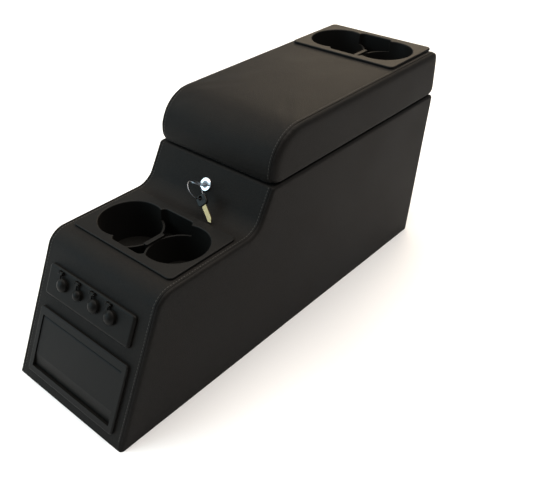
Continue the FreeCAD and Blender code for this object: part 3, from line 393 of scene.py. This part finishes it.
def sewn_surface(bm, seam_x, swell, pucker):
    """Moves the skin as foam and thread do: it swells slowly, puckers by the seams and sinks along them."""
    bm.normal_update()
    moves = []
    for vert in bm.verts:
        from_seam = abs(abs(vert.co.x) / MM - seam_x)
        near = math.exp(-((from_seam / PUCKER_REACH) ** 2))
        rise = wrinkle(vert.co, SWELL_SIZE, swell) + wrinkle(vert.co, PUCKER_SIZE, pucker * near)
        sink = SEAM_DEPTH * MM if from_seam < ON_SEAM else 0.0
        moves.append((vert, vert.normal * (rise - sink)))
    for vert, move in moves:
        vert.co += move


body_stitch_lines = [line_at(cover, side * (HALF_WIDTH - STITCH_INSET)) for side in (-1, 1)]
sewn_surface(cover, HALF_WIDTH - SEAM_INSET, BODY_SWELL, BODY_PUCKER)
body_stitch_paths = [[v.co.copy() for v in line] for line in body_stitch_lines]
cut_window(cover, at(0, CUP_Y, DECK_HEIGHT), CUP_WINDOW, WINDOW_DEPTH)
cut_window(cover, on_fascia(0, FLAP_S), FLAP_WINDOW, WINDOW_DEPTH)
cut_window(cover, on_fascia(SOCKETS_X, SOCKETS_S), SOCKETS_WINDOW, WINDOW_DEPTH)
cut_window(cover, at(0, LOCK_Y, LOCK_Z), LOCK_WINDOW, WINDOW_DEPTH)
cut_window(cover, at(0, MOUTH_Y, SEAM_HEIGHT), MOUTH_WINDOW, WINDOW_DEPTH)
bmesh.ops.recalc_face_normals(cover, faces=cover.faces)
body_surface = BVHTree.FromBMesh(cover)
inward = cover.verts.layers.float_vector.new("inward")
for vert in cover.verts:
    vert[inward] = -vert.normal
inside = bmesh.ops.extrude_face_region(cover, geom=cover.faces[:], use_keep_orig=True)["geom"]
for vert in [g for g in inside if isinstance(g, bmesh.types.BMVert)]:
    vert.co += vert[inward] * (COVER_T - COVER_SLACK) * MM
    vert.co.z = max(vert.co.z, 0.0)
bmesh.ops.recalc_face_normals(cover, faces=cover.faces)


# Vinyl: calendered PVC on a knit back, embossed with a fine pebble grain that breaks up its low gloss.
# The real grain is under a millimetre, and it is drawn a little coarser so that it shows.
VINYL_GRAIN = 1.6 * MM
VINYL_PORE = 0.6 * MM
VINYL_PATCH = 70 * MM
black_vinyl, tree, shader = new_material(
    "charcoal_pebble_vinyl", IOR=1.5, Specular_IOR_Level=0.09, Sheen_Weight=0.03, Sheen_Roughness=0.4
)
place = add(tree, "ShaderNodeTexCoord").outputs["Object"]
pebble = add(tree, "ShaderNodeTexVoronoi", {"Vector": place, "Scale": 1 / VINYL_GRAIN, "Randomness": 0.9})
pore = add(tree, "ShaderNodeTexNoise", {"Vector": place, "Scale": 1 / VINYL_PORE, "Detail": 2.0})
patch = add(tree, "ShaderNodeTexNoise", {"Vector": place, "Scale": 1 / VINYL_PATCH, "Detail": 3.0})
colour = add(tree, "ShaderNodeValToRGB", {"Fac": patch.outputs["Fac"]})
colour.color_ramp.elements[0].position = 0.3
colour.color_ramp.elements[0].color = linear("110f0d")
colour.color_ramp.elements[1].position = 0.75
colour.color_ramp.elements[1].color = linear("1a1714")
# Painted shade and highlight: the colour is darkened in the creases between the pebbles and lightened on
# their tops, as light would fall on the grain. The bump below gives the grain its real relief.
painted_shade_range = {"Value": pebble.outputs["Distance"], "From Max": 0.7, "To Min": 1.15, "To Max": 0.55}
painted_shade_node = add(tree, "ShaderNodeMapRange", painted_shade_range)
shade = {0: 1.0, 6: colour.outputs[0], 7: painted_shade_node.outputs[0]}
shaded = add(tree, "ShaderNodeMix", shade, data_type="RGBA", blend_type="MULTIPLY")
tree.links.new(shaded.outputs[2], shader.inputs["Base Color"])
gloss = add(tree, "ShaderNodeMapRange", {"Value": patch.outputs["Fac"], "To Min": 0.5, "To Max": 0.66})
tree.links.new(gloss.outputs[0], shader.inputs["Roughness"])
grain_inputs = {0: pore.outputs["Fac"], 1: pebble.outputs["Distance"]}
height = add(tree, "ShaderNodeMath", grain_inputs, operation="SUBTRACT")
bump = add(tree, "ShaderNodeBump", {"Height": height.outputs[0], "Strength": 0.5, "Distance": 0.3 * MM})
tree.links.new(bump.outputs[0], shader.inputs["Normal"])

body_cover = mesh_object("body_cover", cover, black_vinyl)
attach(body_cover, "console")
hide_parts("vinyl_cover")


# Top-stitching: a row of lockstitches in bonded polyester thread, sunk a little into the vinyl,
# beside each seam of the body cover from the fascia's foot to the top of the ramp.
STITCH_PITCH = 4.8
STITCH_LENGTH = 3.6
STITCH_SIDES = 7
STITCH_RINGS = 5
STITCH_FOOT = 4.0
THREAD_R = 0.42
THREAD_TWIST = 0.5 * MM
thread, tree, shader = new_material("bonded_polyester_thread", Roughness=0.5, IOR=1.5)
place = add(tree, "ShaderNodeTexCoord").outputs["Object"]
ply = add(tree, "ShaderNodeTexNoise", {"Vector": place, "Scale": 1 / THREAD_TWIST, "Detail": 1.0})
tone = {0: ply.outputs["Fac"], 6: linear("1d1b19"), 7: linear("45413a")}
shade = add(tree, "ShaderNodeMix", tone, data_type="RGBA")
tree.links.new(shade.outputs[2], shader.inputs["Base Color"])


def stitch_row(bm, path, surface):
    """Adds stitches along a path on a surface, one every pitch."""
    gone = STITCH_PITCH * MM
    for here, there in zip(path, path[1:]):
        run = (there - here).length
        while gone < run:
            spot, out, _, _ = surface.find_nearest(here.lerp(there, gone / run))
            ahead = (there - here).normalized()
            side = out.cross(ahead).normalized()
            turn = Matrix((ahead, side, ahead.cross(side))).transposed().to_4x4()
            shape = Matrix.Diagonal((STITCH_LENGTH / 2 * MM, THREAD_R * MM, THREAD_R * MM, 1))
            bmesh.ops.create_uvsphere(
                bm,
                u_segments=STITCH_SIDES,
                v_segments=STITCH_RINGS,
                radius=1.0,
                matrix=Matrix.Translation(spot) @ turn @ shape,
            )
            gone += STITCH_PITCH * MM
        gone -= run


ramp_top = at(0, RAMP_TOP_Y, SEAM_HEIGHT)
body_thread = bmesh.new()
for path in body_stitch_paths:
    in_front = [p for p in path if p.y < ramp_top.y and p.z > STITCH_FOOT * MM]
    stitch_row(body_thread, in_front, body_surface)
body_stitches = mesh_object("body_stitches", body_thread, thread)
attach(body_stitches, "console")


# Lid pad: a foam block on a board, in the same vinyl, with a rolled nose and a sewn seam along each side.
# Swelling foam crowns it between its seams, the rear cup insert sits in it, and the vinyl is pulled tight
# round the board's edge below.
(_, LID_FRONT_Y, LID_BOTTOM), (_, LID_REAR_Y, LID_TOP) = corners_of("lid_pad")
LID_TIGHT = 1.0
LID_HALF_WIDTH = HALF_WIDTH - LID_TIGHT
LID_FACE_Y = LID_FRONT_Y + LID_TIGHT
LID_BACK_Y = LID_REAR_Y - LID_TIGHT
LID_EDGE_R = 6.0
LID_NOSE_R = 64.0
LID_REAR_R = 10.0
LID_FOOT_R = 9.5
LID_FOOT_REACH = 14.0
LID_FOOT_POWER = 8
LID_CORNER_NEAR = 5.0
LID_CORNER_FAR = 16.0
LID_CELL = 12.0
LID_VOXEL = 4.6 * MM
LID_PRESSURE = 4.0
LID_BENDING = 2.0
LID_CLOTH_FRAMES = 20
LID_SWELL_SHARE = 0.25
LID_SMOOTHING = 12
LID_HELD_FOOT = 2.0
LID_HELD_SIDE = 1.5
LID_UPPER = 330.0
LID_SWELL = 0.2
LID_PUCKER = 0.3
LID_WINDOW_DEPTH = 12.0
(_, board_front, _), (board_side, board_rear, LID_BOARD_TOP) = corners_of("lid_board")
BOARD_POCKET_Y = (board_front + board_rear) / 2
BOARD_POCKET = ((RIGHT, board_side), (BACK, (board_rear - board_front) / 2))
LID_SEAM_X = 111.5
LID_STITCH_X = 107.5
LID_STITCH_FOOT = 3.0
(_, plate_front, _), (plate_side, plate_rear, _) = corners_of("rear_cup_holder")
REAR_PLATE_Y = (plate_front + plate_rear) / 2
REAR_PLATE_HALF = (plate_side, (plate_rear - plate_front) / 2)
PLATE_HOLD_INSET = 4.0
PLATE_SINK = 0.4
CROWN_RISE = 3.0
CROWN_REACH = 22.0
LID_CORNERS = (
    (LID_FACE_Y, LID_BOTTOM, LID_FOOT_R),
    (LID_BACK_Y, LID_BOTTOM, LID_FOOT_R),
    (LID_BACK_Y, LID_TOP - LID_TIGHT, LID_REAR_R),
    (LID_FACE_Y, LID_TOP - LID_TIGHT, LID_NOSE_R),
)


def evaluated_copy(source):
    """The mesh that an object has with its modifiers, as a new mesh."""
    graph = bpy.context.evaluated_depsgraph_get()
    return bpy.data.meshes.new_from_object(source.evaluated_get(graph))


def swell_up(source, held):
    """Cloth over foam: evens the mesh out, blows it up with held points pinned, and keeps a share of it."""
    remesh = source.modifiers.new("even", "REMESH")
    remesh.mode = "VOXEL"
    remesh.voxel_size = LID_VOXEL
    start = evaluated_copy(source)
    source.modifiers.clear()
    source.data = start
    group = source.vertex_groups.new(name="held")
    group.add([v.index for v in start.vertices if held(v.co)], 1.0, "REPLACE")
    cloth = source.modifiers.new("foam", "CLOTH")
    cloth.settings.use_pressure = True
    cloth.settings.uniform_pressure_force = LID_PRESSURE
    cloth.settings.effector_weights.gravity = 0.0
    cloth.settings.vertex_group_mass = "held"
    cloth.settings.bending_stiffness = LID_BENDING
    for frame_number in range(1, LID_CLOTH_FRAMES + 1):
        bpy.context.scene.frame_set(frame_number)
    blown = evaluated_copy(source)
    source.modifiers.clear()
    for before, after in zip(start.vertices, blown.vertices):
        before.co += (after.co - before.co) * LID_SWELL_SHARE
    bpy.context.scene.frame_set(1)
    smooth = source.modifiers.new("finer", "SUBSURF")
    smooth.levels = 1
    smooth.render_levels = 1
    finer = evaluated_copy(source)
    source.modifiers.clear()
    source.data = finer


def past_plate(place):
    """How far a place lies outside the rear cup insert's plate, in millimetres, less than 0 under it."""
    off = place / MM - Vector((0, REAR_PLATE_Y - CENTRE_Y, 0))
    return max(abs(off.x) - REAR_PLATE_HALF[0], abs(off.y) - REAR_PLATE_HALF[1])


def held_down(place):
    """Whether the vinyl is held at a place: at the underside, on the sides and under the plate."""
    at_foot = place.z < (LID_BOTTOM + LID_HELD_FOOT) * MM
    on_side = abs(place.x) > (LID_HALF_WIDTH - LID_HELD_SIDE) * MM
    return at_foot or on_side or (place.z > LID_UPPER * MM and past_plate(place) < -PLATE_HOLD_INSET)


def pulled_tight(out, up, corner):
    """Where a point near the lid's lower edge goes when the vinyl is pulled round the edge of the board.

    All are millimetres: inward from the face, up from the underside, and from the nearest corner, where
    the fold stays soft. The edge's section is a superellipse, nearly square.
    """
    side = LID_FOOT_REACH - out
    down = LID_FOOT_REACH - up
    if min(side, down) <= 0 or corner < LID_CORNER_NEAR:
        return out, up
    pull = min(1.0, (corner - LID_CORNER_NEAR) / (LID_CORNER_FAR - LID_CORNER_NEAR))
    size = (side**LID_FOOT_POWER + down**LID_FOOT_POWER) ** (1 / LID_FOOT_POWER)
    grow = 1 + pull * (LID_FOOT_REACH / size - 1)
    return LID_FOOT_REACH - side * grow, LID_FOOT_REACH - down * grow


lid_block = upholstered_block(LID_CORNERS, LID_HALF_WIDTH, LID_EDGE_R, LID_CELL)
lid_pad = mesh_object("lid_pad_cover", lid_block)
swell_up(lid_pad, held_down)
pad = bmesh.new()
pad.from_mesh(lid_pad.data)
ALL_AXES = {"use_axis_x": True, "use_axis_y": True, "use_axis_z": True}
for _ in range(LID_SMOOTHING):
    bmesh.ops.smooth_vert(pad, verts=pad.verts, factor=0.5, **ALL_AXES)
for vert in pad.verts:
    x, y, z = vert.co / MM
    y += CENTRE_Y
    from_side = LID_HALF_WIDTH - abs(x)
    from_face = y - LID_FACE_Y
    out, up = pulled_tight(from_side, z - LID_BOTTOM, min(from_face, LID_BACK_Y - y))
    back, up = pulled_tight(from_face, up, from_side)
    vert.co = at(math.copysign(LID_HALF_WIDTH - out, x), LID_FACE_Y + back, LID_BOTTOM + up)
for seam_side in (-1, 1):
    for offset in (-SEAM_WIDTH, 0, SEAM_WIDTH):
        cut(pad, pad.faces[:], at(seam_side * (LID_SEAM_X + offset), 0, 0), RIGHT)
    cut(pad, pad.faces[:], at(seam_side * LID_STITCH_X, 0, 0), RIGHT)
lid_stitch_lines = [line_at(pad, side * LID_STITCH_X) for side in (-1, 1)]
sewn_surface(pad, LID_SEAM_X, LID_SWELL, LID_PUCKER)
for vert in pad.verts:
    vert.co.z = max(vert.co.z, LID_BOTTOM * MM)
    if vert.co.z > LID_UPPER * MM:
        gap = max(past_plate(vert.co), 0.0)
        ceiling = LID_TOP - PLATE_SINK + CROWN_RISE * (1 - math.exp(-gap / CROWN_REACH))
        vert.co.z = min(vert.co.z, ceiling * MM)
stitch_foot = (LID_BOTTOM + LID_STITCH_FOOT) * MM
lid_stitch_paths = [[v.co.copy() for v in line if v.co.z > stitch_foot] for line in lid_stitch_lines]
cut_window(pad, at(0, REAR_PLATE_Y, LID_TOP), CUP_WINDOW, LID_WINDOW_DEPTH)
cut_window(pad, at(0, BOARD_POCKET_Y, LID_BOTTOM), BOARD_POCKET, WINDOW_DEPTH)
rims = [e for e in pad.edges if e.is_boundary]
walls = bmesh.ops.extrude_edge_only(pad, edges=rims)["geom"]
for vert in [g for g in walls if isinstance(g, bmesh.types.BMVert)]:
    vert.co.z = LID_BOARD_TOP * MM
bmesh.ops.bridge_loops(pad, edges=[e for e in pad.edges if e.is_boundary])
bmesh.ops.recalc_face_normals(pad, faces=pad.faces)
lid_surface = BVHTree.FromBMesh(pad)
pad.to_mesh(lid_pad.data)
pad.free()
lid_pad.data.shade_smooth()
lid_pad.data.set_sharp_from_angle(angle=SHARP_ANGLE)
lid_pad.data.materials.clear()
lid_pad.data.materials.append(black_vinyl)
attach(lid_pad, "lid")
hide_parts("lid_pad")

lid_thread = bmesh.new()
for path in lid_stitch_paths:
    stitch_row(lid_thread, path, lid_surface)
lid_stitches = mesh_object("lid_stitches", lid_thread, thread)
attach(lid_stitches, "lid")


# Moulded inserts: injection-moulded black ABS with a fine spark-eroded skin, low in gloss.
# Cup holders, flap and its frame, the pocket and the tray are all of it.
SPARK_GRAIN = 0.9 * MM
ABS_DRIFT = 50 * MM
black_abs, tree, shader = new_material("spark_textured_black_abs", IOR=1.54, Specular_IOR_Level=0.1)
place = add(tree, "ShaderNodeTexCoord").outputs["Object"]
spark = add(tree, "ShaderNodeTexNoise", {"Vector": place, "Scale": 1 / SPARK_GRAIN, "Detail": 3.0})
drift = add(tree, "ShaderNodeTexNoise", {"Vector": place, "Scale": 1 / ABS_DRIFT, "Detail": 2.0})
tone = {0: drift.outputs["Fac"], 6: linear("0c0b0a"), 7: linear("12110f")}
shade = add(tree, "ShaderNodeMix", tone, data_type="RGBA")
tree.links.new(shade.outputs[2], shader.inputs["Base Color"])
gloss = add(tree, "ShaderNodeMapRange", {"Value": spark.outputs["Fac"], "To Min": 0.38, "To Max": 0.6})
tree.links.new(gloss.outputs[0], shader.inputs["Roughness"])
bump = add(tree, "ShaderNodeBump", {"Height": spark.outputs["Fac"], "Strength": 0.25, "Distance": 0.12 * MM})
tree.links.new(bump.outputs[0], shader.inputs["Normal"])
MOULDINGS = (
    "front_cup_holder",
    "rear_cup_holder",
    "flap_frame",
    "flap",
    "front_pocket",
    "storage_tray",
)
for moulding in MOULDINGS:
    dress(moulding, black_abs)


# Socket strip, sockets and caps: smooth black nylon off a polished tool, dulled in patches by handling.
# Each socket is pressed into the strip, and each domed cap swings on an arm at its upper left.
HANDLING = 6 * MM
SOCKET_NUMBERS = (1, 2, 3, 4)
gloss_plastic, tree, shader = new_material("smooth_black_nylon", IOR=1.53, Specular_IOR_Level=0.07)
place = add(tree, "ShaderNodeTexCoord").outputs["Object"]
handling = add(tree, "ShaderNodeTexNoise", {"Vector": place, "Scale": 1 / HANDLING, "Detail": 3.0})
tone = {0: handling.outputs["Fac"], 6: linear("0b0a09"), 7: linear("11100e")}
shade = add(tree, "ShaderNodeMix", tone, data_type="RGBA")
tree.links.new(shade.outputs[2], shader.inputs["Base Color"])
gloss = add(tree, "ShaderNodeMapRange", {"Value": handling.outputs["Fac"], "To Min": 0.34, "To Max": 0.5})
tree.links.new(gloss.outputs[0], shader.inputs["Roughness"])
dress("socket_strip", gloss_plastic)
for number in SOCKET_NUMBERS:
    dress(f"socket_{number}", gloss_plastic)
    dress(f"socket_cap_{number}", gloss_plastic)


# Metal: a chromed lock barrel, a dull nickel plug, key and ring, a zinc-plated hinge, pins and inner
# lock pieces, and brass contacts and spare key. Plate and brass are smooth from the bath or the press,
# and use has left soft patches of wear in their shine.
def metal(name, colour, smoothest, roughest, wear):
    """A metal of this colour whose roughness wanders between two values over patches of wear."""
    material, tree, shader = new_material(name, Base_Color=linear(colour), Metallic=1.0)
    place = add(tree, "ShaderNodeTexCoord").outputs["Object"]
    rub = add(tree, "ShaderNodeTexNoise", {"Vector": place, "Scale": 1 / wear, "Detail": 4.0})
    shine = {"Value": rub.outputs["Fac"], "To Min": smoothest, "To Max": roughest}
    gloss = add(tree, "ShaderNodeMapRange", shine)
    tree.links.new(gloss.outputs[0], shader.inputs["Roughness"])
    return material


chrome = metal("chrome_plate", "d6d7d8", smoothest=0.06, roughest=0.16, wear=8 * MM)
zinc = metal("zinc_plated_steel", "b9bcbd", smoothest=0.25, roughest=0.42, wear=4 * MM)
brass = metal("worn_brass", "a58e68", smoothest=0.34, roughest=0.52, wear=3 * MM)
nickel = metal("dull_nickel_plate", "77777a", smoothest=0.3, roughest=0.46, wear=3 * MM)
dress("lock_barrel", chrome)
for piece in ("lock_plug", "key", "key_ring"):
    dress(piece, nickel)
ZINC_PIECES = (
    "hinge_body_leaf",
    "hinge_lid_leaf",
    "hinge_pin",
    "flap_pin",
    "cap_pins",
    "lock_nut",
    "lock_cam",
    "lock_cam_screw",
    "lid_strike",
)
for piece in ZINC_PIECES:
    dress(piece, zinc)
for number in SOCKET_NUMBERS:
    dress(f"socket_contact_{number}", brass)
dress("spare_key_blade", brass)


# Spare key's grip: hard black plastic moulded round the blade's head, polished by a pocket,
# with fine rub marks that cloud its gloss.
GRIP_RUB = 2.5 * MM
grip_plastic, tree, shader = new_material("moulded_key_grip", IOR=1.5, Specular_IOR_Level=0.2)
place = add(tree, "ShaderNodeTexCoord").outputs["Object"]
rub = add(tree, "ShaderNodeTexNoise", {"Vector": place, "Scale": 1 / GRIP_RUB, "Detail": 4.0})
tone = {0: rub.outputs["Fac"], 6: linear("0b0b0b"), 7: linear("151413")}
shade = add(tree, "ShaderNodeMix", tone, data_type="RGBA")
tree.links.new(shade.outputs[2], shader.inputs["Base Color"])
gloss = add(tree, "ShaderNodeMapRange", {"Value": rub.outputs["Fac"], "To Min": 0.34, "To Max": 0.52})
tree.links.new(gloss.outputs[0], shader.inputs["Roughness"])
dress("spare_key_grip", grip_plastic)


# Lift-out liner: thin-walled milky polypropylene, which lets some light through.
# Its mould gave it a waxy satin skin, with faint cloudy flow marks from the gate.
FLOW_MARK = 35 * MM
WAX_GRAIN = 1.2 * MM
GLOW_DEPTH = 4 * MM
milky_pp, tree, shader = new_material("milky_polypropylene", IOR=1.49, Subsurface_Weight=0.3)
shader.inputs["Subsurface Radius"].default_value = (GLOW_DEPTH, GLOW_DEPTH, GLOW_DEPTH)
place = add(tree, "ShaderNodeTexCoord").outputs["Object"]
cloud = {"Vector": place, "Scale": 1 / FLOW_MARK, "Detail": 3.0, "Distortion": 0.8}
flow = add(tree, "ShaderNodeTexNoise", cloud)
tone = {0: flow.outputs["Fac"], 6: linear("e6e8e6"), 7: linear("f5f6f4")}
shade = add(tree, "ShaderNodeMix", tone, data_type="RGBA")
tree.links.new(shade.outputs[2], shader.inputs["Base Color"])
gloss = add(tree, "ShaderNodeMapRange", {"Value": flow.outputs["Fac"], "To Min": 0.32, "To Max": 0.46})
tree.links.new(gloss.outputs[0], shader.inputs["Roughness"])
wax = add(tree, "ShaderNodeTexNoise", {"Vector": place, "Scale": 1 / WAX_GRAIN, "Detail": 2.0})
bump = add(tree, "ShaderNodeBump", {"Height": wax.outputs["Fac"], "Strength": 0.15, "Distance": 0.1 * MM})
tree.links.new(bump.outputs[0], shader.inputs["Normal"])
dress("storage_liner", milky_pp)
